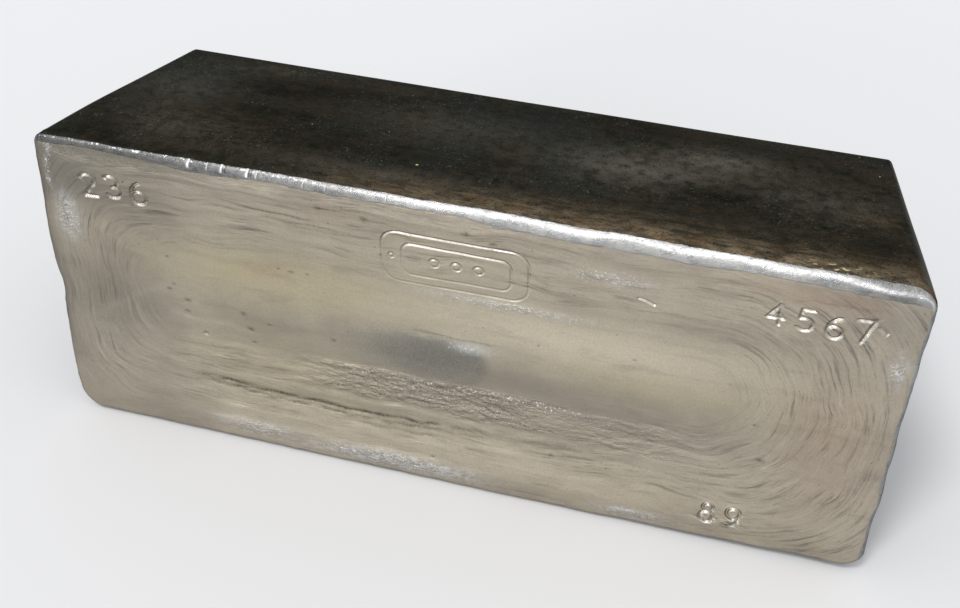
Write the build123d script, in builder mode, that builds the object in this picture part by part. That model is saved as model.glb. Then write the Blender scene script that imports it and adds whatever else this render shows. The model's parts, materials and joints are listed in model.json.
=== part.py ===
"""A silver bar of about 1,000 troy ounces, cast in one piece in an open mould.

The bar is made mould side down and cast face up, and then laid on one of its two long sides.
All four sides taper towards the base, so that the bar drops out of its mould. The cast face
has a rounded rim where the metal met the mould, and inside that a wide shallow hollow. The
metal froze from the mould inwards and shrank as it went, so the hollow goes down in freezing
rings, each a low step round the whole face, from a rounded rectangle outside to a long oval.
"""

from build123d import *

import os
from math import radians, tan

# The block, in millimetres and degrees
cast_length = 300.0  # of the cast face, to the corners that its rim rounds off
cast_width = 124.0
bar_height = 94.0  # from the base to the rim of the cast face
end_draft = 9.4  # taper of each short end
side_draft = 7.4  # taper of each long side

# Corners and edges
cast_corner_radius = 8.5  # upright corners, at the cast face
base_corner_radius = 2.0  # upright corners, at the base
rim_radius = 4.0  # where the metal curls over from a side to the cast face
base_edge_radius = 1.0  # where the sides meet the mould's floor

# The shrinkage hollow and its freezing rings
border_width = 6.0  # level border between the rounded rim and the first ring
hollow_depth = 4.5  # of the middle below the border
ring_count = 8
ring_step = 0.3  # height of the low step at each ring
ring_step_run = 0.7  # how far in each step takes to go down
inner_oval_width = 14.0  # level floor in the middle of the last ring
outer_roundness = 0.62  # corner radius of the first ring, as a share of its half width
inner_roundness = 0.98  # corner radius of the last ring, as a share of its half width

base_length = cast_length - 2 * bar_height * tan(radians(end_draft))
base_width = cast_width - 2 * bar_height * tan(radians(side_draft))


def mould_walls(lower, upper):
    """The faces between two level outlines: flat sides, and corners that open out upwards."""
    walls = []
    for low, high in zip(lower.edges(), upper.edges()):
        if low.geom_type == GeomType.LINE:
            walls.append(Face(Wire.make_polygon([low @ 0, low @ 1, high @ 1, high @ 0])))
        else:
            walls.append(Face.make_surface_from_curves(low, high))
    return walls


def ring_inset(share):
    """How far inside the block's outline a ring lies, from 0 at the border to 1 at the middle."""
    first = rim_radius + border_width
    last = (cast_width - inner_oval_width) / 2
    return first + share * (last - first)


def ring_drop(share):
    """Depth of the smooth dish at a ring, steep near the border and level in the middle."""
    dished = hollow_depth - ring_count * ring_step
    return dished * (1 - (1 - share) ** 2)


def ring_outline(inset, height, share):
    """The closed outline of a ring, parallel to the cast face's edge and rounder further in."""
    width = cast_width - 2 * inset
    roundness = outer_roundness + share * (inner_roundness - outer_roundness)
    with BuildSketch(Plane.XY.offset(height)) as outline:
        RectangleRounded(cast_length - 2 * inset, width, roundness * width / 2)
    return outline.sketch


def hollow_outlines():
    """The outlines that the hollow passes through, from above the cast face to its floor."""
    lift = ring_step
    outlines = [ring_outline(ring_inset(0), bar_height + lift, 0)]
    for ring in range(ring_count):
        share = ring / (ring_count - 1)
        height = bar_height - ring_drop(share) - ring * ring_step
        outlines.append(ring_outline(ring_inset(share), height, share))
        inner = ring_inset(share) + ring_step_run
        outlines.append(ring_outline(inner, height - ring_step, share))
    return outlines


with BuildSketch(Plane.XY) as base:
    RectangleRounded(base_length, base_width, base_corner_radius)

with BuildSketch(Plane.XY.offset(bar_height)) as cast_face:
    RectangleRounded(cast_length, cast_width, cast_corner_radius)

floor = base.sketch.face()
top = cast_face.sketch.face()
walls = mould_walls(floor.outer_wire(), top.outer_wire())

with BuildPart() as casting:
    add(Solid(Shell([floor, top, *walls])))
    fillet(casting.edges().group_by(Axis.Z)[-1], rim_radius)
    fillet(casting.edges().group_by(Axis.Z)[0], base_edge_radius)
    loft(hollow_outlines(), ruled=True, mode=Mode.SUBTRACT)

# Tipped over onto a long side, so that the side lies flat and the cast face looks forward
tipped = casting.part.rotate(Axis.X, 90 - side_draft)
room = tipped.bounding_box()

with BuildPart() as silver_bar:
    with Locations((-room.center().X, -room.center().Y, -room.min.Z)):
        add(tipped)

silver_bar.part.label = "silver_bar"
os.makedirs("parts", exist_ok=True)
export_step(silver_bar.part, "parts/silver_bar.step")
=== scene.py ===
"""The looks of the silver bar: one detailed skin over the CAD block, its metal, light and camera.

The skin is shaped in the mould's frame, in millimetres and degrees: x along the bar, y across it
towards the long side that ends up on top, and z up from the base to the cast face. The base's
mount in the record says where that frame lies. Floor, lamps and camera are in the row's metres.
"""

import json
import math

import bmesh
import bpy
import numpy as np
from mathutils import Matrix, Vector, noise


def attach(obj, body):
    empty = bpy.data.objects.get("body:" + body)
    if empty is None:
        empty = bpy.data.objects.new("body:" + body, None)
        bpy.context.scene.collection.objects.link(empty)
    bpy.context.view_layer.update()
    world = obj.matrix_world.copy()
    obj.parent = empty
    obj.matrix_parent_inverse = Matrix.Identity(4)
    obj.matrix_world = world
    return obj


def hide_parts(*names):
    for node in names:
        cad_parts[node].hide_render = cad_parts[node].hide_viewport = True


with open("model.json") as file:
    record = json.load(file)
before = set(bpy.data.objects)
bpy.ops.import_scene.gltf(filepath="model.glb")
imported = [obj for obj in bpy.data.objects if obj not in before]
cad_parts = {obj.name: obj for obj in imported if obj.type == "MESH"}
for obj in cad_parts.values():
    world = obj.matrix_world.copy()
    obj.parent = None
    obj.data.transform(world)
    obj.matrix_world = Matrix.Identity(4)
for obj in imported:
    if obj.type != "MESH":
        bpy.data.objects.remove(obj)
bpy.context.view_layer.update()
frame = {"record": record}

MM = 0.001

# The block, as in the CAD model
CAST_LENGTH = 300
CAST_WIDTH = 124
BAR_HEIGHT = 94
END_DRAFT = 9.4
SIDE_DRAFT = 7.4
BASE_CORNER_RADIUS = 2
BASE_EDGE_RADIUS = 1
HOLLOW_DEPTH = 4.5
RING_COUNT = 8
RING_STEP = 0.24
FIRST_RING = 10
LAST_RING = 55

# Upright corners at the cast face, from the one at +x +y round to the one at +x -y
CAST_CORNER_RADII = (8.5, 4.5, 9.5, 9)
CORNERS = ((1, 1), (-1, 1), (-1, -1), (1, -1))

# The rolled rim on top is tighter at its left end than at its right, and the others are tight too
LEFT_RIM_RADIUS = 2.2
RIGHT_RIM_RADIUS = 5
END_RIM_RADIUS = 2.8
LOWER_RIM_RADIUS = 2

# The last metal to freeze lay along a line in the middle of the cast face, between these ends
LEFT_HEART = -100
RIGHT_HEART = 84
HEART_Y = 4

# Points of the plain block above this height are on its cast face
FACE_LEVEL = BAR_HEIGHT - 0.001

# Mesh steps
ARC_STEPS = 24
LONG_STEPS = 170
SHORT_STEPS = 54
RIM_STEPS = 10
FACE_STEPS = 62
SIDE_STEPS = 12
BASE_STEPS = 4
INNERMOST_INSET = 61.2
FINE_CUTS = 1
STAMP_CUTS = 3
MERGE_DISTANCE = 0.1

NOISE_GAIN = 1.6  # brings the noise, which seldom passes 0.6, to about -1 to 1
FAR = 1e9


def unit(values):
    """The values, held between 0 and 1."""
    return np.clip(values, 0, 1)


def smooth(value, low, high):
    """0 below low, 1 above high, and an easy slope between."""
    share = unit((np.asarray(value, float) - low) / (high - low))
    return share * share * (3 - 2 * share)


def ripple(points, *wavelengths):
    """Smooth noise of about -1 to 1 at each point, with its own wavelength along each axis or 1."""
    scaled = points / np.array((*wavelengths, 1, 1)[:3])
    return np.array([noise.noise(Vector(point)) for point in scaled]) * NOISE_GAIN


def at(x, y, z=0):
    """Points from separate coordinates, any of which may be one number."""
    return np.stack(np.broadcast_arrays(x, y, z), axis=-1).astype(float)


def spot(x, y, centre_x, centre_y, reach_x, reach_y):
    """1 at the centre, fading to nothing a little past the reach."""
    return np.exp(-(((x - centre_x) / reach_x) ** 2) - ((y - centre_y) / reach_y) ** 2)


def spots(x, y, *places):
    """The sum of several spots, each given as its strength, centre and reach."""
    return sum(strength * spot(x, y, *place) for strength, *place in places)


def stripe(across, half_width):
    """1 where across is 0, fading to nothing on both sides of it."""
    return np.exp(-((across / half_width) ** 2))


# The skin's grid: columns round the bar, rows from the base up over the rim to the middle


def make_columns():
    """For each column, the two corners it lies between, how far along, and its way out."""
    columns = []
    for corner in range(4):
        for step in range(ARC_STEPS):
            angle = (corner + step / ARC_STEPS) * math.pi / 2
            columns.append((corner, corner, 0, angle))
        steps = LONG_STEPS if corner % 2 == 0 else SHORT_STEPS
        for step in range(steps):
            columns.append((corner, (corner + 1) % 4, step / steps, (corner + 1) * math.pi / 2))
    first, second, share, angle = map(np.array, zip(*columns))
    return first, second, share, np.stack((np.cos(angle), np.sin(angle)), axis=-1)


FROM_CORNER, TO_CORNER, SHARE, OUTWARD = make_columns()
COLUMNS = len(SHARE)
END_SLOPE = math.tan(math.radians(END_DRAFT))
SIDE_SLOPE = math.tan(math.radians(SIDE_DRAFT))
DRAFT = np.arctan(OUTWARD[:, 0] ** 2 * END_SLOPE + OUTWARD[:, 1] ** 2 * SIDE_SLOPE)


def outline(half_length, half_width, radii):
    """Each column's point on a rounded rectangle. The sizes may differ from column to column."""
    half = np.stack(np.broadcast_arrays(half_length, half_width, np.zeros(COLUMNS))[:2], axis=-1)
    ends = []
    for corner in (FROM_CORNER, TO_CORNER):
        radius = np.choose(corner, radii)[:, None]
        side = np.array(CORNERS)[corner]
        ends.append(side * (half - radius) + radius * OUTWARD)
    return ends[0] * (1 - SHARE[:, None]) + ends[1] * SHARE[:, None]


def side_outline(depth):
    """The drafted side's outline at a depth below the cast face."""
    share = depth / BAR_HEIGHT
    radii = [r + share * (BASE_CORNER_RADIUS - r) for r in CAST_CORNER_RADII]
    return outline(CAST_LENGTH / 2 - depth * END_SLOPE, CAST_WIDTH / 2 - depth * SIDE_SLOPE, radii)


def past_first_ring(inset):
    """0 up to the first freezing ring and 1 from the last one on."""
    return unit((inset - FIRST_RING) / (LAST_RING - FIRST_RING))


def face_outline(inset):
    """A line on the cast face, parallel to its edge outside and rounder towards the middle."""
    half_width = CAST_WIDTH / 2 - inset
    rounder = smooth(inset, 5, 15)
    roundness = 0.62 + 0.36 * past_first_ring(inset)
    radii = []
    for corner_radius in CAST_CORNER_RADII:
        outside = np.maximum(corner_radius - inset, 1)
        radii.append((1 - rounder) * outside + rounder * roundness * half_width)
    return outline(CAST_LENGTH / 2 - inset, half_width, radii)


def rim_radius():
    """The rim's radius at each column."""
    along = side_outline(np.zeros(COLUMNS))[:, 0]
    radius = LEFT_RIM_RADIUS + smooth(along, -140, 60) * (RIGHT_RIM_RADIUS - LEFT_RIM_RADIUS)
    radius = radius + smooth(OUTWARD[:, 0], 0.2, 0.9) * (END_RIM_RADIUS - radius)
    return radius + smooth(-OUTWARD[:, 1], 0, 0.8) * (LOWER_RIM_RADIUS - radius)


def skin_rows():
    """All rows of the plain block, from the base to the innermost line of the cast face."""
    rows = []
    base_edge = side_outline(BAR_HEIGHT)
    reach = BASE_EDGE_RADIUS / np.tan(math.pi / 4 + DRAFT / 2)
    for step in range(BASE_STEPS):
        angle = step / BASE_STEPS * (math.pi / 2 - DRAFT)
        inset = reach - BASE_EDGE_RADIUS * np.sin(angle)
        height = BASE_EDGE_RADIUS * (1 - np.cos(angle))
        rows.append(level_row(base_edge - inset[:, None] * OUTWARD, height))

    radius = rim_radius()
    turn = math.pi / 2 + DRAFT
    rim_depth = radius * (1 - np.cos(turn))
    lowest = BASE_EDGE_RADIUS * (1 - math.sin(math.radians(SIDE_DRAFT)))
    for step in range(SIDE_STEPS):
        share = float(smooth(step / SIDE_STEPS, -0.06, 1.06))
        depth = (BAR_HEIGHT - lowest) * (1 - share) + rim_depth * share
        rows.append(level_row(side_outline(depth), BAR_HEIGHT - depth))

    edge = side_outline(np.zeros(COLUMNS))
    rim_reach = radius / np.tan(math.pi / 4 - DRAFT / 2)
    for step in range(RIM_STEPS):
        angle = turn * (1 - step / RIM_STEPS)
        inset = rim_reach - radius * np.sin(angle)
        depth = radius * (1 - np.cos(angle))
        rows.append(level_row(edge - inset[:, None] * OUTWARD, BAR_HEIGHT - depth))

    rows.append(level_row(edge - rim_reach[:, None] * OUTWARD, BAR_HEIGHT))
    for step in range(1, FACE_STEPS + 1):
        inset = rim_reach + (INNERMOST_INSET - rim_reach) * step / FACE_STEPS
        rows.append(level_row(face_outline(inset), BAR_HEIGHT))
    return rows


def level_row(plan, height):
    """A row's points from their places in plan and their height."""
    return np.column_stack((plan, np.broadcast_to(height, COLUMNS)))


def skin_faces(row_count):
    """Quads between neighbouring rows, and what fills the base and the innermost row."""
    faces = []
    for row in range(row_count - 1):
        for column in range(COLUMNS):
            beside = (column + 1) % COLUMNS
            low = row * COLUMNS
            high = low + COLUMNS
            faces.append((low + column, low + beside, high + beside, high + column))
    last = (row_count - 1) * COLUMNS
    faces.extend([last + column for column in strip] for strip in strips_across(0))
    end = SHORT_STEPS // 2 + ARC_STEPS
    faces.extend(list(reversed(strip)) for strip in strips_across(end))
    return faces


def strips_across(end):
    """The columns of each strip across a row. The first and last take in an end's columns whole."""
    tip = COLUMNS - SHORT_STEPS // 2
    strips = []
    if end:
        strips.append([(tip + step) % COLUMNS for step in range(-end, end + 1)])
    for step in range(end, COLUMNS // 2 - end):
        near = (tip + step) % COLUMNS
        near_next = (tip + step + 1) % COLUMNS
        far = (tip - step) % COLUMNS
        far_next = (tip - step - 1) % COLUMNS
        strips.append(list(dict.fromkeys((near, near_next, far_next, far))))
    if end:
        other_tip = tip - COLUMNS // 2
        strips.append([(other_tip + step) % COLUMNS for step in range(-end, end + 1)])
    return strips


# Stamped marks


def arc(centre_x, centre_y, radius_x, radius_y, start, end, steps=14):
    """Points along part of an ellipse, in degrees from the right and turning left."""
    angles = np.radians(np.linspace(start, end, steps + 1))
    return np.stack(
        (centre_x + radius_x * np.cos(angles), centre_y + radius_y * np.sin(angles)), axis=-1
    )


# Each digit's strokes, in a box 0.6 wide and 1 high
DIGITS = {
    "2": [np.vstack((arc(0.3, 0.72, 0.27, 0.27, 165, -30), [(0.04, 0), (0.58, 0)]))],
    "3": [arc(0.28, 0.74, 0.25, 0.25, 150, -90), arc(0.28, 0.25, 0.28, 0.25, 90, -150)],
    "4": [[(0.44, 0), (0.44, 1), (0, 0.3), (0.6, 0.3)]],
    "5": [
        [(0.54, 1), (0.12, 1), (0.08, 0.56)],
        np.vstack(([(0.08, 0.56)], arc(0.27, 0.31, 0.31, 0.31, 115, -140))),
    ],
    "6": [arc(0.52, 0.36, 0.5, 0.64, 105, 180), arc(0.3, 0.3, 0.28, 0.29, 0, 360, 24)],
    "7": [[(0.02, 1), (0.58, 1), (0.22, 0)]],
    "8": [arc(0.3, 0.76, 0.22, 0.23, 0, 360, 20), arc(0.3, 0.27, 0.28, 0.27, 0, 360, 24)],
    "9": [arc(0.08, 0.64, 0.5, 0.64, -75, 0), arc(0.3, 0.7, 0.28, 0.29, 0, 360, 24)],
}


def number_strokes(digits, x, y, height, pitch, wander):
    """A row of digits punched one by one, so that each is a little up, down or askew."""
    strokes = []
    for place, digit in enumerate(digits):
        lift = wander * math.sin(2.3 * place + x)
        lean = math.radians(4 * wander * math.cos(1.7 * place + x))
        for stroke in DIGITS[digit]:
            points = np.asarray(stroke, float) * height
            turned_x = points[:, 0] * math.cos(lean) - points[:, 1] * math.sin(lean)
            turned_y = points[:, 0] * math.sin(lean) + points[:, 1] * math.cos(lean)
            strokes.append(np.stack((x + place * pitch + turned_x, y + lift + turned_y), -1))
    return strokes


def panel_strokes(x, y, half_width, half_height, corner):
    """A rounded frame as one closed line."""
    corners = []
    for quarter, (side_x, side_y) in enumerate(CORNERS):
        centre_x = x + side_x * (half_width - corner)
        centre_y = y + side_y * (half_height - corner)
        corners.append(arc(centre_x, centre_y, corner, corner, 90 * quarter, 90 * quarter + 90, 6))
    frame_line = np.vstack(corners)
    return [np.vstack((frame_line, frame_line[:1]))]


# Each stamp's strokes, half width of the punch and depth: three numbers, a framed panel with
# three pips and a dot, a dash and a tick
STAMPS = (
    (number_strokes("236", -132.5, 39, 9.5, 9, 0.5), 0.62, 0.8),
    (number_strokes("4567", 101, 38, 8.4, 9, 0.4), 0.6, 0.7),
    (number_strokes("89", 91.5, -51.5, 8.2, 9, 0.3), 0.65, 0.9),
    (panel_strokes(0, 37, 25, 10.5, 6), 0.5, 0.5),
    (panel_strokes(0.5, 36.5, 18.5, 6.5, 3.5), 0.5, 0.5),
    ([arc(x, 36.5, 1.6, 1.6, 0, 360, 12) for x in (-7, 0.5, 8)], 0.55, 0.5),
    ([arc(-21.7, 36.8, 0.9, 0.9, 0, 360, 12)], 0.5, 0.5),
    ([np.array(((61, 38.2), (63.5, 37.6), (66, 36.6)))], 0.55, 0.6),
    ([np.array(((134.5, 45), (136.8, 43.2)))], 0.6, 0.6),
)


def stroke_distance(x, y, stroke):
    """Distance from each point to a line of straight pieces."""
    nearest = np.full(len(x), FAR)
    for (ax, ay), (bx, by) in zip(stroke[:-1], stroke[1:]):
        dx, dy = bx - ax, by - ay
        share = unit(((x - ax) * dx + (y - ay) * dy) / (dx * dx + dy * dy))
        away = np.hypot(x - ax - share * dx, y - ay - share * dy)
        nearest = np.minimum(nearest, away)
    return nearest


def stamp_distance(x, y, strokes):
    """Distance to the nearest of a stamp's strokes, worked out only near the stamp."""
    nearest = np.full(len(x), FAR)
    for stroke in strokes:
        stroke = np.asarray(stroke, float)
        low = stroke.min(axis=0) - 3
        high = stroke.max(axis=0) + 3
        near = (x > low[0]) & (x < high[0]) & (y > low[1]) & (y < high[1])
        nearest[near] = np.minimum(nearest[near], stroke_distance(x[near], y[near], stroke))
    return nearest


# Pits and gas marks on the cast face: x, y, radius and depth
PITS = (
    (-106, 2.5, 0.9, 0.14),
    (-99.5, -1.5, 1.3, 0.16),
    (-100, -6.5, 1, 0.14),
    (-93.5, -14.8, 1, 0.3),
    (-104, 5, 0.7, 0.1),
    (-78, -2.5, 1.2, 0.16),
    (-75.5, -9, 1.3, 0.16),
    (-74.5, -14.5, 0.9, 0.14),
    (-68, -5, 0.7, 0.12),
    (-63, 21, 0.6, 0.12),
    (-58.5, 20.5, 0.9, 0.14),
    (-52.5, 20.8, 0.6, 0.12),
    (-44, -6, 0.9, 0.12),
    (-105, 17, 0.7, 0.12),
    (37, -37.5, 0.8, 0.12),
    (-6, -49, 0.8, 0.12),
    (108, -20.5, 1.4, 0.2),
    (62, 11, 0.6, 0.12),
    (104, -6, 0.7, 0.12),
    (-25.5, 36, 0.6, 0.1),
    (-46, 51.5, 1.2, 0.06),
    (-30.5, 50, 1.4, 0.06),
    (4, 52, 1.5, 0.06),
    (13, 49.5, 1.2, 0.06),
)


# The relief of the cast face


def inset_from_edge(x, y):
    """Distance in from the cast face's edge, round its corners."""
    quadrant = np.select([(x >= 0) & (y >= 0), (x < 0) & (y >= 0), x < 0], [0, 1, 2], 3)
    radius = np.choose(quadrant, CAST_CORNER_RADII)
    out_x = np.abs(x) - CAST_LENGTH / 2 + radius
    out_y = np.abs(y) - CAST_WIDTH / 2 + radius
    round_corner = np.hypot(np.maximum(out_x, 0), np.maximum(out_y, 0))
    return radius - round_corner - np.minimum(np.maximum(out_x, out_y), 0)


def ring_share(x, y):
    """0 where the metal froze last and 1 at the edge, by way of ever squarer rings."""
    past_right = np.maximum(x - RIGHT_HEART, 0) / (CAST_LENGTH / 2 - RIGHT_HEART)
    past_left = np.maximum(LEFT_HEART - x, 0) / (CAST_LENGTH / 2 + LEFT_HEART)
    lengthwise = past_right + past_left
    crosswise = np.abs(y - HEART_Y) / (CAST_WIDTH / 2 - np.sign(y - HEART_Y) * HEART_Y)
    squareness = np.where(x > 0, 0.7, 2.5) * smooth(np.hypot(lengthwise, crosswise), 0.3, 1)
    power = 2 + squareness
    return (lengthwise**power + crosswise**power) ** (1 / power)


def ring_place(x, y):
    """Where a point lies from the edge, 0, to the heart of the face, half its width away."""
    place = (1 - ring_share(x, y)) * CAST_WIDTH / 2
    drift = 2.4 * ripple(at(x, y, 3), 38, 26)
    waver = 0.9 * ripple(at(x, y, 8), 13, 9)
    return place + (drift + waver) * smooth(place, 0, 12)


def hollow(place, x, y):
    """The shrinkage hollow, with a low uneven step at each freezing ring."""
    smooth_depth = HOLLOW_DEPTH - RING_COUNT * RING_STEP
    depth = smooth_depth * (1 - (1 - past_first_ring(place)) ** 2)
    for ring in range(RING_COUNT):
        inset = FIRST_RING + ring / (RING_COUNT - 1) * (LAST_RING - FIRST_RING)
        strength = 1 - 0.1 * ring + 0.5 * ripple(at(x, y, 11 * ring), 42, 26)
        strength *= 1 - 0.55 * smooth(-y, 32, 46)
        depth += RING_STEP * strength * smooth(place, inset, inset + 1.6)
    return depth


def lined(x, y):
    """How plain the freezing lines are: strong at both ends and low down, faint in the middle."""
    low = 0.7 * smooth(-y, 8, 24) * (1 - smooth(-x, 90, 130))
    stretches = (
        0.75 * smooth(-x, 104, 126) * smooth(y, -62, -30),
        0.95 * spot(x, y, -110, 32, 24, 12),
        0.9 * smooth(x, 70, 108),
        1.2 * spot(x, y, 86, -14, 38, 14),
        low * (1 - 0.6 * smooth(-y, 40, 48)),
        0.6 * smooth(y, 25, 34),
        spot(x, y, 10, -19, 90, 9),
    )
    patchy = 0.75 + 0.5 * ripple(at(x, y, 14), 20, 12)
    calm_heart = smooth(ring_share(x, y), 0.12, 0.4)
    return unit((0.1 + 0.9 * np.max(stretches, axis=0)) * patchy * calm_heart)


def freezing_lines(place, x, y):
    """Fine uneven ridges along the rings."""
    broad = 0.2 * ripple(at(place, x, y), 3.2, 24, 24)
    fine = 0.12 * ripple(at(place, x + 300, y), 1.8, 14, 14)
    return (broad + fine) * lined(x, y) * smooth(place, 3, 10)


def pool_distance(x, y):
    """1 on the outline of the small pool right of the middle, less inside it and more outside."""
    reach_x = np.where(x < -6, 38, 20)
    reach_y = np.where(y > -4, 9.5, 13.5)
    away = np.hypot((x + 6) / reach_x, (y + 4 + 0.05 * (x + 6)) / reach_y)
    return away + 0.06 * ripple(at(x, y, 12), 9, 5)


def pool_swell(x, y):
    """The pool's skin swells a little over the hollow, with a firm upper edge on the right."""
    away = pool_distance(x, y)
    firm = smooth(x, -30, 2)
    soft_swell = 0.4 * (1 - smooth(away, 0.3, 1.15))
    firm_swell = 0.75 * (1 - smooth(away, 0.7, 1))
    lip = 0.35 * spot(x, y, 5, 4.2, 9, 2)
    return soft_swell * (1 - firm) + firm_swell * firm + lip


def wrinkled(x, y):
    """How strongly the metal's skin is puckered: a long band below the middle."""
    middle = -21.5 - 0.012 * x
    across = (y - middle) / np.where(y > middle, 6.6, 8)
    band = 1 - smooth(np.abs(across) + 0.12 * ripple(at(x, y, 5.5), 12, 5), 0.72, 1.1)
    strong = smooth(x, -62, -30) * (1 - smooth(x, 22, 46))
    faint = 0.45 * smooth(x, -70, -40) * (1 - smooth(x, 70, 96))
    return band * np.maximum(strong, faint)


def wrinkles(x, y):
    """Folds of the puckered band, and the dark creases below it."""
    bent = y + 0.9 * ripple(at(x, y, 17), 9, 9)
    folds = 0.55 * np.abs(ripple(at(x, bent, 5), 10, 2.6)) - 0.2
    puckers = 0.4 * np.abs(ripple(at(x, bent, 9), 4.4, 1.7)) - 0.14
    broken = np.clip(0.65 + 0.5 * ripple(at(x, 0, 6), 7), 0.15, 1.2)
    puckers *= 1 - 0.8 * smooth(x, 14, 44)
    ledge = 0.35 * stripe(y + 30.6, 2) * smooth(x, -70, -40) * (1 - smooth(x, 0, 40))
    return (folds + puckers) * wrinkled(x, y) - 0.32 * creased(x, y) * broken + ledge


def creased(x, y):
    """Where the three long creases below the puckered band run, fading out to the right."""
    line = -34.4 + 1.3 * np.sin(x / 24) + 0.5 * ripple(at(x, 0, 2), 11)
    strand = 0.5 * ripple(at(x, 3, 2), 5)
    first = 1.1 * stripe(y - line, 0.9)
    second = 0.8 * stripe(y - line - strand + 2.4, 0.7)
    third = 0.5 * stripe(y - line + strand + 5.2, 0.7) * smooth(x, -60, -20)
    reach = smooth(x, -104, -84) * (1 - 0.75 * smooth(x, -20, 20)) * (1 - smooth(x, 70, 100))
    worn_away = np.clip(0.8 + 0.5 * ripple(at(x, y, 16), 5.5, 1.6), 0.25, 1.1)
    return (first + second + third) * reach * worn_away


# Rough bright patches at both ends, along the lower edge and above the middle: strength,
# centre and reach
SCUFFS = (
    (0.85, -139.5, 29, 3.2, 7),
    (0.9, 143, 30, 2.2, 5),
    (1.4, -20, -55.3, 25, 3.2),
    (0.6, -74, -53.5, 16, 3.4),
    (0.8, 68, -56, 12, 2.4),
    (0.5, 20, 23.5, 24, 1.8),
    (0.5, 52, 44, 12, 2.2),
)


def scuffed(x, y):
    """Small rough patches of bright metal."""
    return unit(spots(x, y, *SCUFFS))


def face_relief(x, y, place):
    """Height of the cast face's surface over its level, without the stamps."""
    height = -hollow(place, x, y) + freezing_lines(place, x, y) + wrinkles(x, y)
    height += pool_swell(x, y)
    height += 0.16 * scuffed(x, y) * ripple(at(x, y, 7), 2.2, 1.8)
    height += 0.3 * ripple(at(x, y, 1), 42, 20)
    height += 0.05 * ripple(at(x, y, 2), 6, 3.5)
    for pit_x, pit_y, radius, depth in PITS:
        height -= depth * spot(x, y, pit_x, pit_y, radius, radius * 0.7)
    return height


def pitted(x, y):
    """1 in the middle of a pit and 0 outside them all."""
    return np.max([spot(x, y, *middle, r, r * 0.7) for *middle, r, _ in PITS], axis=0)


def rubbed_panel(x, y):
    """How much of the framed panel's relief is left: most of it above, and little below."""
    inside_panel = (np.abs(x) < 28) & (y > 24)
    return np.where(inside_panel, 0.3 + 0.5 * smooth(y + 0.12 * x, 31, 42), 1)


def wall_in_light(x, y):
    """Above 0 on the stamped walls that face up or left, where a highlight is painted, and below 0
    on those that face away, where shade is painted.
    """
    facing_up = stamp_relief(x, y + 0.2)[1] - stamp_relief(x, y - 0.2)[1]
    facing_left = stamp_relief(x - 0.2, y)[1] - stamp_relief(x + 0.2, y)[1]
    return facing_up + 0.7 * facing_left


def stamp_relief(x, y):
    """Depth of the stamped marks, and how far into a stroke each point is, from 0 to 1."""
    depth = np.zeros(len(x))
    inside = np.zeros(len(x))
    for strokes, half_width, full_depth in STAMPS:
        away = stamp_distance(x, y, strokes)
        struck = 1 - smooth(away, half_width * 0.35, half_width * 1.15)
        lip = stripe(away - half_width * 1.45, 0.28)
        depth = depth - full_depth * struck + 0.16 * full_depth * lip
        inside = np.maximum(inside, struck)
    left_over = rubbed_panel(x, y)
    return depth * left_over, inside * left_over


def edge_shift(x, y):
    """How far the cast face's outline falls short of the block's: lengthwise, then crosswise."""
    height = (-62, -57, -52, -46, -38, -30, -16, -10, -5.5, 0, 5.5, 11, 22, 34, 51, 62)
    shortfall = (1.1, 1.35, 1.1, 0.3, 0.1, 0.3, 0.7, 1.1, 1.8, 1.7, 0.6, 0.1, 0.2, 0.5, 1.1, 1.5)
    left_edge = 0.05 + np.interp(y, height, shortfall)
    right_edge = 0.4 + 0.4 * ripple(at(0, y, 4), 1, 17)
    right_edge *= 1 - 0.8 * smooth(y, 30, 45)
    lower_edge = 0.55 + 1.2 * (np.clip(x, 0, 125) / 100) ** 2
    lower_edge += 0.3 * (np.minimum(x, 0) / 150) ** 2 + 0.15 * ripple(at(x, 0, 7), 26)
    upper_edge = 0.3 + 0.2 * ripple(at(x, 0, 9), 24) + 0.35 * smooth(-x, 60, 120)
    lengthwise = smooth(x, 130, 148) * right_edge - smooth(-x, 130, 148) * left_edge
    crosswise = smooth(y, 50, 60) * upper_edge - smooth(-y, 50, 60) * lower_edge
    return lengthwise, crosswise


# Marks knocked across the rim on top: x, half width and depth
RIM_NICKS = (
    (-90.3, 0.5, 0.5),
    (-84, 0.35, 0.16),
    (-78.6, 0.55, 0.5),
    (-69.5, 0.6, 0.55),
    (-66.5, 0.4, 0.2),
    (-50.5, 0.35, 0.14),
    (-43, 0.3, 0.14),
    (-22.5, 0.3, 0.12),
)


def nicked(x, y, z):
    """Height of the pinch marks on the rim, each a short groove with a raised left edge."""
    height = np.zeros(len(x))
    for nick_x, half_width, depth in RIM_NICKS:
        slanted = x - nick_x + 0.2 * (z - BAR_HEIGHT) + 0.05 * (z - BAR_HEIGHT) ** 2
        groove = stripe(slanted, half_width)
        burr = stripe(slanted + 1.3 * half_width, half_width)
        height += depth * (burr - 0.8 * groove)
    return height * smooth(y, 58, 59.2) * (1 - smooth(BAR_HEIGHT - z, 1.3, 2.4))


def rim_relief(x, y, z):
    """Dents, nicks and beading of the rolled rim."""
    beads = 0.16 * ripple(at(x, y, z + 50), 15, 15, 9) + 0.09 * ripple(at(x, y, z), 4.5, 4.5, 3)
    stitches = 0.06 * np.sin(x * 3.4 + 2 * ripple(at(x, 0, 0), 9))
    stitches *= smooth(-x, 60, 100) * smooth(y, 50, 58)
    fine = 0.05 * ripple(at(x, y, z), 1.9, 1.9, 1.9)
    return beads + stitches + fine - 0.3 + nicked(x, y, z)


def side_relief(x, y, z):
    """The mould's own gentle unevenness, printed on the four sides and the base."""
    return 0.1 * ripple(at(x, y, z), 55, 55, 40) - 0.12


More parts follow.
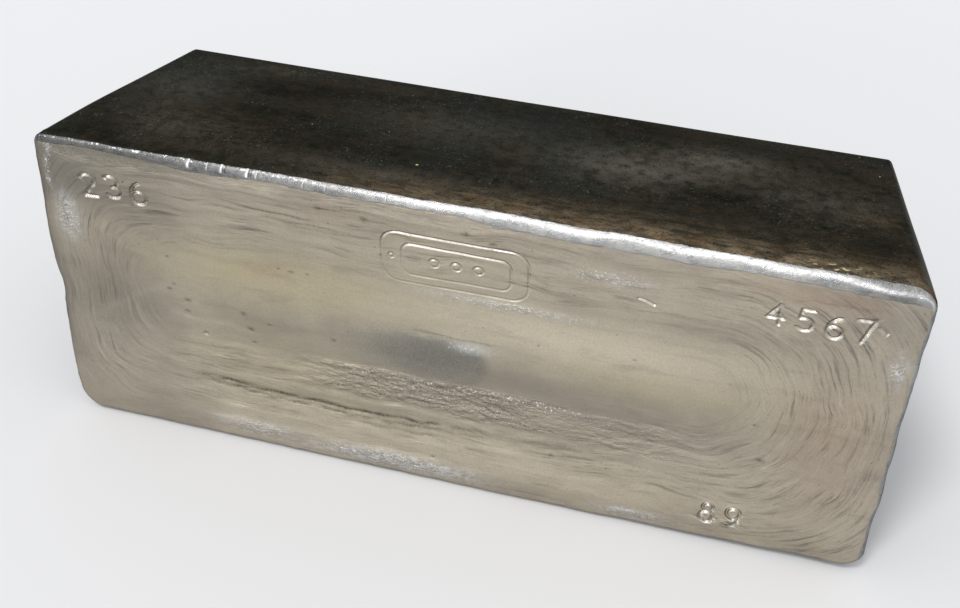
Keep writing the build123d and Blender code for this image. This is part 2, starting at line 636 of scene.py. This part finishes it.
def shape_skin(points, normals):
    """Moves the plain block's points to the real surface, and tells how deep each is struck."""
    x, y, z = points.T
    on_face = z > FACE_LEVEL
    inset = inset_from_edge(x, y)
    depth = BAR_HEIGHT - z

    struck_depth = np.zeros(len(x))
    struck = np.zeros(len(x))
    relief = np.zeros(len(x))
    place = ring_place(x, y)
    struck_depth[on_face], struck[on_face] = stamp_relief(x[on_face], y[on_face])
    relief[on_face] = face_relief(x[on_face], y[on_face], place[on_face])
    face_share = smooth(inset, 4, 11) * on_face
    rim_share = (1 - face_share) * (1 - smooth(depth, 3, 9))
    side_share = 1 - face_share - rim_share
    rolled = np.minimum(rim_relief(x, y, z), 0)
    moulded = np.minimum(side_relief(x, y, z), 0)
    relief = relief * face_share + rolled * rim_share + moulded * side_share + struck_depth
    moved = points + normals * relief[:, None]

    lengthwise, crosswise = edge_shift(x, y)
    fade = (1 - smooth(inset, 1, 14) * on_face) * (1 - smooth(depth, 2, 45))
    moved[:, 0] -= lengthwise * fade
    moved[:, 1] -= crosswise * fade
    left_end_in = 0.8 * smooth(-x, 100, 128) * smooth(depth, 6, 45)
    top_side_in = 0.4 * smooth(y, 40, 48) * smooth(depth, 10, 60)
    moved[:, 0] += left_end_in
    moved[:, 1] -= top_side_in * (1 - 0.7 * smooth(x, 0, 130))
    return moved, place, struck


# Making the mesh


def build_skin():
    """The skin's mesh in the row's frame, in metres, with its paint attributes."""
    rows = skin_rows()
    mesh = bpy.data.meshes.new("silver_bar_skin")
    mesh.from_pydata(np.vstack(rows).tolist(), [], skin_faces(len(rows)))
    refined = bmesh.new()
    refined.from_mesh(mesh)
    bmesh.ops.remove_doubles(refined, verts=refined.verts, dist=MERGE_DISTANCE)
    refine(refined, near_fine_relief, FINE_CUTS)
    refine(refined, near_struck_marks, STAMP_CUTS)
    many_sided = [face for face in refined.faces if len(face.verts) > 4]
    bmesh.ops.poke(refined, faces=many_sided)
    refined.to_mesh(mesh)
    refined.free()

    plain = read_vectors(mesh.vertices, "co")
    normals = read_vectors(mesh.vertex_normals, "vector")
    moved, place, struck = shape_skin(plain, normals)
    paint(mesh, plain, normals, place, struck)
    mesh.vertices.foreach_set("co", (moved * MM).ravel())
    mesh.polygons.foreach_set("use_smooth", [True] * len(mesh.polygons))
    mesh.transform(mould_to_row())
    mesh.update()
    return mesh


def read_vectors(items, name):
    """One row of three numbers for each item."""
    flat = np.zeros(len(items) * 3)
    items.foreach_get(name, flat)
    return flat.reshape(-1, 3)


def near_fine_relief(x, y, z):
    """Where the relief is finer than the plain grid: the rim on top, folds, creases, scratches."""
    rim_on_top = (y > 53.5) & (z > BAR_HEIGHT - 6.5)
    marked = (wrinkled(x, y) > 0.06) | (creased(x, y) > 0.2) | (scratched(x, y) > 0.1)
    return rim_on_top | ((z > FACE_LEVEL) & marked)


def near_struck_marks(x, y, z):
    """Where a stamp, a pit or a nick needs a much finer grid."""
    level = z > FACE_LEVEL
    wanted = np.zeros(len(x), bool)
    for strokes, half_width, _ in STAMPS:
        away = stamp_distance(x, y, strokes)
        wanted |= level & (away < half_width + 0.9)
    for pit_x, pit_y, radius, _ in PITS:
        wanted |= level & (np.hypot(x - pit_x, y - pit_y) < radius * 1.5 + 0.5)
    for nick_x, half_width, _ in RIM_NICKS:
        wanted |= (np.abs(x - nick_x) < half_width + 0.8) & (y > 57) & (z > BAR_HEIGHT - 3.5)
    return wanted


def refine(refined, wanted, cuts):
    """Splits every face whose middle is wanted."""
    refined.faces.ensure_lookup_table()
    centres = np.array([face.calc_center_median() for face in refined.faces])
    chosen = [face for face, want in zip(refined.faces, wanted(*centres.T)) if want]
    edges = {edge.index: edge for face in chosen for edge in face.edges}
    ordered = [edges[index] for index in sorted(edges)]
    bmesh.ops.subdivide_edges(refined, edges=ordered, cuts=cuts, use_grid_fill=True)
    refined.faces.index_update()
    refined.edges.index_update()


def mould_to_row():
    """The mould's frame in the row's, from the base's mount: where it is and which way it faces."""
    base = next(m for m in frame["record"]["mounts"] if m["name"] == "base")
    up = -Vector(base["axis"]).normalized()
    along = Vector((1, 0, 0))
    turn = Matrix((along, up.cross(along), up)).transposed().to_4x4()
    return Matrix.Translation(Vector(base["pos_m"])) @ turn


# Paint: attributes on the mesh's points, which the material reads


def keep(mesh, name, values):
    """Stores one number or three per point under a name."""
    values = np.asarray(values, np.float32)
    if values.ndim == 1:
        layer = mesh.attributes.new(name, "FLOAT", "POINT")
        layer.data.foreach_set("value", values)
    else:
        layer = mesh.attributes.new(name, "FLOAT_VECTOR", "POINT")
        layer.data.foreach_set("vector", values.ravel())


def paint(mesh, plain, normals, place, struck):
    """Works out where each finish lies, as one value per point that the material reads."""
    x, y, z = plain.T
    depth = BAR_HEIGHT - z
    roll = np.degrees(np.arctan2(normals[:, 2], np.hypot(normals[:, 0], normals[:, 1])))
    cast = smooth(roll, -1, 12) * inside_rim(x, y)
    # Painted shade along the upper part of the left edge
    left_edge_shade = 0.5 * spot(x, y, -150, 46, 3.5, 20)
    wall = wall_in_light(x, y) * (z > FACE_LEVEL)
    finishes = {
        "mould": plain,
        "flow": at(place, 0.06 * x, 0.06 * y),
        "cast": cast,
        # The rim band, then the painted highlights and painted reflection on the rim
        "rim_band": smooth(roll, 13, 33),
        "crown": crown(x, y, roll),
        "beaded": beaded(x, y, roll),
        "gleam": gleam(x, y),
        "edge_wear": edge_wear(plain, normals),
        # Painted highlight on the raised edges of the rim's nicks
        "burr": unit(nicked(x, y, z) / 0.3),
        "lined": lined(x, y),
        # Darker marks: creases and scratches, with painted shade in the pits and along the upper
        # left edge
        "marks_and_painted_shade": unit(creased(x, y) + 0.7 * pitted(x, y) + scratched(x, y) + left_edge_shade),
        "struck": struck,
        # Painted highlight on the stamped walls that face the light, and painted shade on those that
        # face away
        "lit_wall": unit(wall * 1.7 - 0.3),
        "shaded_wall": unit(-wall * 1.3),
        "rough_skin": unit(wrinkled(x, y) + scuffed(x, y)) * cast,
        "scuffed": scuffed(x, y) * cast,
        "sparkling": sparkling(x, y),
        "pool": pool_reflection(x, y),
        "glint": glint(x, y),
    }
    besides_spots = {
        "shade": 0.2 * smooth(-x, 88, 116),
        "brown": smooth(x, -70, 10) * stripe(depth - 4, 9),
    }
    on_top_side = smooth(normals[:, 1], 0.5, 0.9)
    for name, places in FACE_ZONES.items():
        finishes[name] = unit(spots(x, y, *places) + besides_spots.get(name, 0))
    for name, places in TOP_SIDE_ZONES.items():
        zone = unit(spots(x, depth, *places) + besides_spots.get(name, 0))
        finishes[name] = zone * on_top_side
    for name, values in finishes.items():
        keep(mesh, name, values)


# Stretches of the cast face in other shades, each a sum of spots: strength, centre and reach
FACE_ZONES = {
    # Painted shade and dull reflection: the corner by the first digits, the left end, and round and
    # right of the pool
    "shade": (
        (1.2, -142, 53, 15, 13),
        (0.5, -118, 40, 24, 9),
        (0.8, -118, 57, 22, 3.5),
        (0.45, -86, 55.5, 30, 4.5),
        (0.45, -128, -6, 20, 26),
        (1.1, -150, 0, 4.5, 30),
        (0.4, -58, -10, 34, 10),
        (0.6, 24, -9, 26, 7),
        (0.5, 72, -15, 38, 9.5),
        (0.3, 90, 30, 24, 5),
        (0.5, 141, 50, 12, 9),
    ),
    # Brightest: across the middle, and fainter below and above it
    "pale": (
        (1, 50, 14, 52, 11),
        (0.3, -25, 16, 60, 10),
        (0.55, 10, -44, 95, 9),
        (0.4, 30, 42, 80, 13),
    ),
    # Straw-coloured tarnish: above, left and right of the middle
    "straw": (
        (0.9, -62, 16, 50, 12),
        (0.4, -60, -22, 40, 16),
        (0.5, 70, 2, 40, 9),
    ),
    # Faintly coppery: a faint painted warm reflection at the right end, and tarnish under the rim
    "rose": (
        (0.45, 128, -6, 15, 26),
        (0.6, 118, 52, 24, 4),
        (0.5, -68, 19, 8, 4),
        (0.4, -42, 50, 12, 3),
    ),
}

# The same for the long side that lies on top, by distance along the bar and below the cast face
TOP_SIDE_ZONES = {
    # Grey smudges
    "smudge": (
        (1, 76, 68, 17, 8),
        (1, 50, 50, 26, 12),
        (0.4, 110, 50, 20, 10),
        (0.3, -20, 60, 28, 12),
        (0.45, -118, 56, 18, 16),
        (0.35, -100, 82, 18, 7),
        (0.35, -112, 22, 22, 8),
        (0.4, -30, 14, 40, 7),
    ),
    # The blackest patches
    "soot": (
        (1, -82, 72, 26, 7),
        (0.6, -132, 16, 12, 12),
        (0.5, -80, 44, 40, 14),
        (1, 76, 38, 18, 7),
        (0.6, 60, 84, 50, 6),
        (0.6, -40, 26, 40, 6),
        (0.5, 130, 24, 12, 16),
    ),
    # Brown scorching, apart from the band along the rim
    "brown": (
        (0.22, -100, 34, 26, 12),
        (0.5, 128, 42, 8, 7),
    ),
    # Where small golden specks lie beside the rim
    "gold": ((1, 119, 5, 9, 2.5),),
}


def inside_rim(x, y):
    """1 on the cast face and 0 on the rim, which is broad on top and slim on the other sides."""
    along = (-150, -128, -112, -92, -80, -64, -44, -24, -4, 16, 56, 76, 96, 116, 136)
    breadth = (3.6, 2.6, 3.2, 4.9, 4.8, 3.6, 4.3, 4, 3.2, 5.1, 5.3, 5.8, 4.8, 5.1, 5.9)
    top = np.interp(x, along, breadth) + 0.25 * ripple(at(x, y, 4), 5, 9)
    right = 2 + 0.5 * ripple(at(x, y, 4), 9, 8)
    half_length, half_width = CAST_LENGTH / 2, CAST_WIDTH / 2
    soft = 0.7 + 0.9 * smooth(x, -30, 0) * (1 - smooth(x, 56, 80))
    share = smooth(half_width - y, top - soft, top + soft + 0.6 * smooth(x, -20, 20))
    share *= smooth(half_length - x, right - 0.8, right + 0.8)
    return share * smooth(half_length + x, -0.2, 1.2) * smooth(half_width + y, -0.6, 0.6)


def crown(x, y, roll):
    """The painted highlight along the upper rim, on its rubbed crown: thin on the left, broad and
    white on the right.
    """
    along = (-150, -100, -80, -60, -44, -24, 0)
    strength = np.interp(x, along, (0.12, 0.12, 0.14, 0.2, 0.46, 0.8, 1))
    strength *= 1 - 0.3 * smooth(x, 130, 144)
    middle = 37 + 3 * smooth(x, -100, 0) + 15 * smooth(x, 100, 138)
    reach = 10 + 3 * smooth(x, -70, 0) - 4 * smooth(x, 96, 130)
    wander = 7 * ripple(at(x, 0, 6), 16)
    line = stripe(roll - middle - wander, reach)
    patchy = np.clip(0.9 + 0.4 * ripple(at(x, 0, 21), 15), 0.45, 1.1)
    return strength * patchy * line * smooth(y, 52, 57)


def beaded(x, y, roll):
    """Where the upper rim's painted highlight is broken into bright beads, left of the middle."""
    return stripe(roll - 36, 11) * smooth(y, 52, 57) * smooth(-x, 20, 60)


# Painted highlights: on the pool, in the upper right corner and by the left rim
GLINTS = (
    (1, 6.5, 2.6, 6.5, 2),
    (0.15, 142, 50, 5, 7),
    (0.2, -139, 29, 4.5, 9),
)

# Painted points of light: along the puckers' upper edge, on the pool, in two dotted rows and low
# down left
SPARKS = (
    (1, 12, -16.6, 40, 1.3),
    (0.9, 33, -17, 6, 1.8),
    (0.4, -14, -20, 26, 5),
    (0.8, 5, 2.4, 8, 2),
    (0.55, 20, 23.5, 22, 1.6),
    (0.6, 50, 44, 10, 3),
    (0.12, -132, -24, 6, 14),
)

# A painted highlight broken into bright beads, from the upper left corner down the left rim, and a
# long faint scrape
BEAD_LINE = ((-142.8, 60), (-143.4, 55), (-145, 50), (-145.2, 42))
SCRAPE_LINE = ((-131, -11), (-118, -2), (-104, 5.5))


def glint(x, y):
    """How bright the painted highlights, the painted beads of light and the pale scrape are."""
    beads = 0.7 * bead_line(x, y) * unit(0.65 + ripple(at(x, y, 2), 2, 2.2))
    scrape = 0.12 * stripe(stroke_distance(x, y, SCRAPE_LINE), 1.5)
    return unit(spots(x, y, *GLINTS) + beads + scrape)


def bead_line(x, y):
    """1 on the painted line of bright beads, fading to nothing beside it."""
    return stripe(stroke_distance(x, y, BEAD_LINE), 0.95)


def sparkling(x, y):
    """Where the skin is painted with points of light."""
    return unit(spots(x, y, *SPARKS) + 1.2 * bead_line(x, y) + 0.9 * scuffed(x, y))


# Fine dark scratches on the cast face: left end, right end, height and strength
SCRATCHES = (
    (-86, -72, 44.6, 0.5),
    (-74, -50, 45.6, 0.8),
    (-66, -40, 43.4, 0.6),
    (-58, -28, 41.6, 0.4),
    (-46, -38, 51.2, 0.5),
    (-30, -22, 50, 0.4),
    (14, 30, 47, 0.3),
    (112, 136, 50.5, 0.3),
    (-14, 14, 5.6, 0.5),
    (-34, 40, -15.2, 0.7),
)


def scratched(x, y):
    """How dark the fine scratches are at each point."""
    share = np.zeros(len(x))
    for left, right, height, strength in SCRATCHES:
        bent = height + 0.5 * ripple(at(x, 0, height), 12)
        ends = smooth(x, left - 3, left + 3) * (1 - smooth(x, right - 3, right + 3))
        share = np.maximum(share, strength * ends * stripe(y - bent, 0.35))
    return share


def edge_wear(plain, normals):
    """1 on the edges round the base and on the upright corners, where handling rubs them."""
    tilt = np.abs(normals)
    base_edge = smooth(tilt[:, 2], 0.3, 0.6) * (1 - smooth(tilt[:, 2], 0.85, 0.97))
    base_edge *= plain[:, 2] < 2
    corner = smooth(np.minimum(tilt[:, 0], tilt[:, 1]), 0.3, 0.6)
    return np.maximum(base_edge, 0.6 * corner * (plain[:, 2] < BAR_HEIGHT - 6))


def gleam(x, y):
    """The rim's painted reflection beside its crown: dull on the left and brighter on top."""
    along = (-112, -95, -80, -64, -44, -24, 0, 40, 60, 76, 96, 116, 136)
    shine = (0.1, 0.25, 0.35, 0.55, 0.5, 0.85, 1, 1, 0.95, 1, 1, 0.8, 0.45)
    top = smooth(y, 50, 56) * np.interp(x, along, shine)
    right = 0.8 * smooth(x, 138, 146)
    return unit(np.maximum(top, right) + 0.8 * spot(x, y, 147, 30, 6, 7))


def pool_reflection(x, y):
    """The pool's painted reflection, blue-grey, and its trail to the left."""
    away = pool_distance(x, y)
    firm = smooth(x, -26, 6) * smooth(y, -14, 0)
    soft_edge = (1 - firm) * (1 - smooth(away, 0.1, 1.45))
    return unit(soft_edge + firm * (1 - smooth(away, 0.8, 1.08)))


# Materials


def linear(red, green, blue):
    """A colour given in 0 to 255 as it shows on a screen, as the renderer's own values."""
    channels = []
    for value in (red, green, blue):
        share = value / 255
        channels.append(share / 12.92 if share <= 0.04045 else ((share + 0.055) / 1.055) ** 2.4)
    return (*channels, 1)


class Paint:
    """Adds nodes to one material. A value is a socket, a number, an attribute's name or None."""

    def __init__(self, name):
        self.material = bpy.data.materials.new(name)
        self.material.use_nodes = True
        self.tree = self.material.node_tree
        self.shader = self.tree.nodes["Principled BSDF"].inputs

    def node(self, kind, *inputs, **settings):
        made = self.tree.nodes.new(kind)
        for key, value in settings.items():
            setattr(made, key, value)
        for place, value in enumerate(inputs):
            self.plug(value, made.inputs[place])
        return made

    def plug(self, value, socket):
        if isinstance(value, str):
            value = self.node("ShaderNodeAttribute", attribute_name=value).outputs["Fac"]
        if isinstance(value, bpy.types.NodeSocket):
            self.tree.links.new(value, socket)
        elif value is not None:
            socket.default_value = value

    def places(self, name):
        """A vector attribute, for noise to be laid out by."""
        return self.node("ShaderNodeAttribute", attribute_name=name).outputs["Vector"]

    def stretch(self, places, along):
        """Places for noise that is drawn out along the bar, more so the smaller the number is."""
        made = self.node("ShaderNodeVectorMath", places, (along, 1, 1), operation="MULTIPLY")
        return made.outputs[0]

    def math(self, operation, a, b):
        return self.node("ShaderNodeMath", a, b, operation=operation).outputs[0]

    def times(self, a, b):
        return self.math("MULTIPLY", a, b)

    def noise(self, places, scale, detail, roughness):
        made = self.node("ShaderNodeTexNoise", places)
        made.inputs["Scale"].default_value = scale
        made.inputs["Detail"].default_value = detail
        made.inputs["Roughness"].default_value = roughness
        return made.outputs["Fac"]

    def span(self, value, low, high, to_low=0, to_high=1):
        """value mapped from low..high to another range, with an easy slope."""
        made = self.node("ShaderNodeMapRange", value, low, high, to_low, to_high)
        made.interpolation_type = "SMOOTHSTEP"
        return made.outputs[0]

    def mix(self, share, a, b):
        """Colour a where share is 0, and b where it is 1."""
        made = self.node("ShaderNodeMix", data_type="RGBA")
        self.plug(share, made.inputs[0])
        for place, colour in ((6, a), (7, b)):
            self.plug(linear(*colour) if isinstance(colour, tuple) else colour, made.inputs[place])
        return made.outputs[2]

    def coats(self, colour, *coats):
        """A colour with coats laid over it in turn, each given as its share and its colour."""
        for share, coat in coats:
            colour = self.mix(share, colour, coat)
        return colour

    def bump(self, height, strength, distance, normal=None):
        made = self.node("ShaderNodeBump")
        made.inputs["Strength"].default_value = strength
        made.inputs["Distance"].default_value = distance
        self.plug(height, made.inputs["Height"])
        self.plug(normal, made.inputs["Normal"])
        return made.outputs["Normal"]


def silver_material():
    """Cast silver: a pale tarnished face with painted light and shade, a bright worn rim with
    painted highlights and reflections, and near-black sides, partly tarnish and partly a painted
    dark reflection.
    """
    p = Paint("cast_silver")
    mould = p.places("mould")
    flow = p.places("flow")
    lengthwise = p.stretch(mould, 0.3)
    mottling = p.noise(mould, 0.22, 5, 0.6)
    grain = p.noise(mould, 1.3, 4, 0.65)
    scratches = p.noise(p.stretch(mould, 0.7), 0.75, 5, 0.72)
    sparkle = p.noise(p.stretch(mould, 0.55), 0.95, 4, 0.7)
    lines = p.noise(flow, 0.75, 4, 0.65)
    fine_lines = p.noise(flow, 2.4, 3, 0.6)

    unevenness = p.math("SUBTRACT", p.noise(lengthwise, 0.8, 5, 0.7), 0.5)
    rim_share = p.span(p.math("ADD", "rim_band", p.times(unevenness, 1.5)), 0.35, 0.6)
    face_share = p.span(p.math("ADD", "cast", p.times(unevenness, 0.9)), 0.3, 0.7)
    rim_alone = p.times(rim_share, p.math("SUBTRACT", 1, face_share))

    side = mould_side_colour(p, mould, lengthwise, mottling)
    rim = rim_colour(p, mould, mottling, scratches)
    face = cast_face_colour(p, mould, mottling, grain, lines, fine_lines)
    colour = p.mix(face_share, p.mix(rim_share, side, rim), face)
    p.plug(colour, p.shader["Base Color"])

    rough = p.span(mottling, 0.3, 0.7, 0.32, 0.43)
    rough = p.math("SUBTRACT", rough, p.times(rim_alone, 0.08))
    polish = p.math("MAXIMUM", "struck", "rough_skin")
    rough = p.math("SUBTRACT", rough, p.times(polish, 0.1))
    p.plug(rough, p.shader["Roughness"])
    p.shader["Metallic"].default_value = 1
    p.shader["Specular Tint"].default_value = (0.45, 0.45, 0.45, 1)

    line_height = p.math("ADD", p.times(lines, 0.5), p.times(fine_lines, 0.4))
    line_height = p.times(p.times(line_height, "lined"), "cast")
    normal = p.bump(line_height, 0.8, 0.4 * MM)
    normal = p.bump(grain, 0.4, 0.14 * MM, normal)
    normal = p.bump(p.times(scratches, rim_alone), 0.7, 0.5 * MM, normal)
    normal = p.bump(p.times(sparkle, "rough_skin"), 1, 1.1 * MM, normal)
    p.plug(normal, p.shader["Normal"])
    return p.material


def rim_colour(p, mould, mottling, scratches):
    """The rim: a painted reflection, dull on the left and at the ends, with a painted highlight
    along its scratched crown and painted glints on its beads and nicks.
    """
    dull = p.mix(p.span(mottling, 0.35, 0.6), (72, 72, 72), (96, 95, 94))
    bright = p.mix(p.span(mottling, 0.38, 0.6), (148, 149, 149), (168, 168, 166))
    beads = p.span(p.noise(p.stretch(mould, 0.8), 0.75, 2, 0.6), 0.54, 0.62)
    return p.coats(
        p.mix("gleam", dull, bright),
        (p.times("crown", p.span(scratches, 0.34, 0.56, 0.25, 1)), (246, 246, 246)),
        (p.times(beads, "beaded"), (236, 237, 240)),
        ("burr", (240, 240, 241)),
    )


def cast_face_colour(p, mould, mottling, grain, lines, fine_lines):
    """The cast face: its tarnish, painted light and lines, then its marks with painted shade,
    painted light and shade on the stamped walls, scuffs and painted points of light.
    """
    specks = p.span(p.noise(mould, 0.6, 2, 0.5), 0.27, 0.21, 0, 0.6)
    patchy = p.span(grain, 0.35, 0.6, 0.5, 0.95)
    bright_spots = p.span(p.noise(mould, 0.3, 4, 0.65), 0.47, 0.6, 0, 0.8)
    points = p.span(p.noise(mould, 1, 2, 0.6), 0.58, 0.66)
    face = tarnish_and_painted_light(p, mould, mottling, grain)
    return p.coats(
        lined_colour(p, face, lines, fine_lines),
        (specks, (88, 78, 62)),
        (p.times("marks_and_painted_shade", patchy), (78, 71, 58)),
        (p.times("shaded_wall", 0.7), (92, 87, 78)),
        (p.times("lit_wall", patchy), (240, 239, 235)),
        (p.times("scuffed", 0.6), (206, 206, 203)),
        (p.times("scuffed", bright_spots), (226, 228, 229)),
        (p.times("rough_skin", 0.35), (150, 142, 132)),
        (p.times(points, "sparkling"), (246, 246, 244)),
    )


def tarnish_and_painted_light(p, mould, mottling, grain):
    """The face's soft stretches of colour: pale greyish straw, warmer tarnish with a faint painted
    warm reflection, painted shade, the pool's painted reflection and painted highlights.
    """
    blotches = p.noise(mould, 0.035, 4, 0.6)
    smears = p.noise(p.stretch(mould, 0.25), 0.16, 4, 0.6)
    return p.coats(
        p.mix(p.span(blotches, 0.35, 0.65), (169, 160, 145), (183, 174, 157)),
        (p.times("straw", 0.8), (188, 178, 143)),
        (p.times("pale", 0.8), (216, 206, 184)),
        # Painted shade, then coppery tarnish with a faint painted warm reflection, then the pool's
        # painted reflection
        (p.times("shade", 0.82), (124, 120, 111)),
        (p.times("rose", p.span(mottling, 0.3, 0.6, 0.3, 0.8)), (172, 144, 125)),
        (p.times("pool", p.span(grain, 0.25, 0.65, 0.7, 1)), (122, 121, 116)),
        (p.span(smears, 0.52, 0.72, 0, 0.3), (140, 132, 120)),
        (p.span(grain, 0.35, 0.65, 0, 0.16), (118, 111, 100)),
        # Painted highlights
        (p.times("glint", p.span(grain, 0.3, 0.6, 0.3, 0.9)), (204, 205, 202)),
    )


def lined_colour(p, face, lines, fine_lines):
    """The freezing lines: darker in their valleys, partly tarnish and partly painted shade, and
    lighter on their tops, where highlights are painted.
    """
    return p.coats(
        face,
        (p.times(p.span(lines, 0.48, 0.3), p.times("lined", 0.84)), (102, 98, 91)),
        (p.times(p.span(lines, 0.54, 0.7), p.times("lined", 0.4)), (200, 192, 176)),
        (p.times(p.span(fine_lines, 0.48, 0.3), p.times("lined", 0.44)), (106, 99, 89)),
    )


# Golden specks that lie alone on the dark side: place and radius
GOLD_SPECKS = (
    ((-20, 58.8, 69), 0.65),
    ((130, 52, 17), 0.35),
    ((-64, 56.5, 51), 0.3),
)


def mould_side_colour(p, mould, lengthwise, mottling):
    """The sides: near-black, partly dark tarnish and partly a painted dark reflection, with grey
    smudges, brown scorching and fine specks.
    """
    clouds = p.noise(lengthwise, 0.06, 5, 0.62)
    cool_clouds = p.noise(mould, 0.025, 3, 0.5)
    streaks = p.noise(p.stretch(mould, 0.35), 0.35, 6, 0.7)
    smudged = p.times("smudge", p.span(mottling, 0.3, 0.6, 0.3, 1))
    sooty = p.times("soot", p.span(mottling, 0.25, 0.6, 0.5, 1))
    rust = p.noise(mould, 0.09, 3, 0.5)
    flecks = p.span(p.noise(mould, 0.9, 3, 0.65), 0.6, 0.7)
    clustered = p.span(p.noise(mould, 0.05, 3, 0.5), 0.4, 0.6, 0.1, 0.7)
    grit = p.noise(mould, 1.4, 3, 0.6)
    dots = p.span(p.noise(p.stretch(mould, 0.6), 0.7, 2, 0.5), 0.55, 0.63)
    side = p.coats(
        p.mix(p.span(clouds, 0.36, 0.66), (35, 36, 31), (54, 50, 43)),
        (p.span(mottling, 0.38, 0.66, 0, 0.55), (64, 61, 53)),
        (p.span(cool_clouds, 0.48, 0.62, 0, 0.5), (46, 51, 49)),
        (p.span(streaks, 0.5, 0.74, 0, 0.35), (72, 66, 56)),
        (p.times(smudged, 0.8), (110, 106, 97)),
        (p.times("brown", p.span(streaks, 0.38, 0.66, 0.15, 1)), (128, 114, 93)),
        (p.times("brown", p.span(mottling, 0.5, 0.64, 0, 0.7)), (98, 76, 54)),
        (p.times(sooty, 0.8), (25, 25, 22)),
        (p.span(rust, 0.6, 0.74, 0, 0.4), (70, 56, 42)),
        (p.times(flecks, clustered), (114, 109, 97)),
        (p.span(grit, 0.47, 0.32, 0, 0.75), (21, 21, 18)),
        (p.times("edge_wear", p.span(mottling, 0.35, 0.6, 0.1, 0.5)), (112, 108, 99)),
        (p.times(dots, "gold"), (206, 190, 150)),
    )
    for place, radius in GOLD_SPECKS:
        away = p.node("ShaderNodeVectorMath", mould, place, operation="DISTANCE").outputs["Value"]
        side = p.mix(p.span(away, radius, radius * 0.4), side, (226, 208, 150))
    return side


# Floor, light and camera


def add_object(name, data):
    """Puts an object made of a mesh, a lamp or a camera into the scene."""
    made = bpy.data.objects.new(name, data)
    bpy.context.scene.collection.objects.link(made)
    return made


def make_floor():
    """A plain pale floor, just under the bar."""
    reach = 6
    corners = [(reach * side_x, reach * side_y, 0) for side_x, side_y in CORNERS]
    mesh = bpy.data.meshes.new("floor")
    mesh.from_pydata(corners, [], [(0, 1, 2, 3)])
    pale = Paint("pale_floor")
    pale.shader["Base Color"].default_value = (0.9, 0.9, 0.9, 1)
    pale.shader["Roughness"].default_value = 0.9
    pale.shader["Specular IOR Level"].default_value = 0.1
    mesh.materials.append(pale.material)
    floor = add_object("floor", mesh)


def soft_sun(name, towards, spread, strength):
    """A far lamp in a direction from the bar, as wide across as its spread in degrees."""
    lamp = bpy.data.lights.new(name, "SUN")
    lamp.angle = math.radians(spread)
    lamp.energy = strength
    made = add_object(name, lamp)
    made.location = towards
    made.rotation_euler = Vector(towards).to_track_quat("Z", "Y").to_euler()


def make_light():
    """An even pale room, white to the eye and in reflections, with a lamp above and one in front."""
    world = bpy.data.worlds.new("studio")
    world.use_nodes = True
    tree = world.node_tree
    link = tree.links.new
    room = tree.nodes["Background"]
    room.inputs["Color"].default_value = (0.84, 0.85, 0.88, 1)
    room.inputs["Strength"].default_value = 0.8
    backdrop = tree.nodes.new("ShaderNodeBackground")
    backdrop.inputs["Color"].default_value = (1, 1, 1, 1)
    rays = tree.nodes.new("ShaderNodeLightPath")
    seen = rays.outputs["Is Camera Ray"]
    for kind in ("Is Glossy Ray", "Is Transmission Ray"):
        either = tree.nodes.new("ShaderNodeMath")
        either.operation = "MAXIMUM"
        link(seen, either.inputs[0])
        link(rays.outputs[kind], either.inputs[1])
        seen = either.outputs[0]
    choice = tree.nodes.new("ShaderNodeMixShader")
    link(seen, choice.inputs[0])
    link(room.outputs[0], choice.inputs[1])
    link(backdrop.outputs[0], choice.inputs[2])
    link(choice.outputs[0], tree.nodes["World Output"].inputs["Surface"])
    bpy.context.scene.world = world
    soft_sun("overhead", (-0.2, -0.33, 0.92), 14, 0.9)
    soft_sun("low_front", (-0.45, -0.85, 0.2), 20, 0.42)


def make_camera():
    """The photograph's own view, from a perspective fit of the bar's outline."""
    camera = bpy.data.cameras.new("camera")
    camera.sensor_width = 36
    camera.lens = 50.52
    camera.clip_start = 0.01
    made = add_object("camera", camera)
    made.location = (0.09484, -0.34485, 0.39877)
    made.rotation_euler = [math.radians(angle) for angle in (45.15, 0.283, 15.477)]
    bpy.context.scene.camera = made


make_camera()
skin = add_object("silver_bar_skin", build_skin())
skin.data.materials.append(silver_material())
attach(skin, "root")
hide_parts("silver_bar")
make_floor()
make_light()
bpy.context.scene.view_settings.view_transform = "Standard"
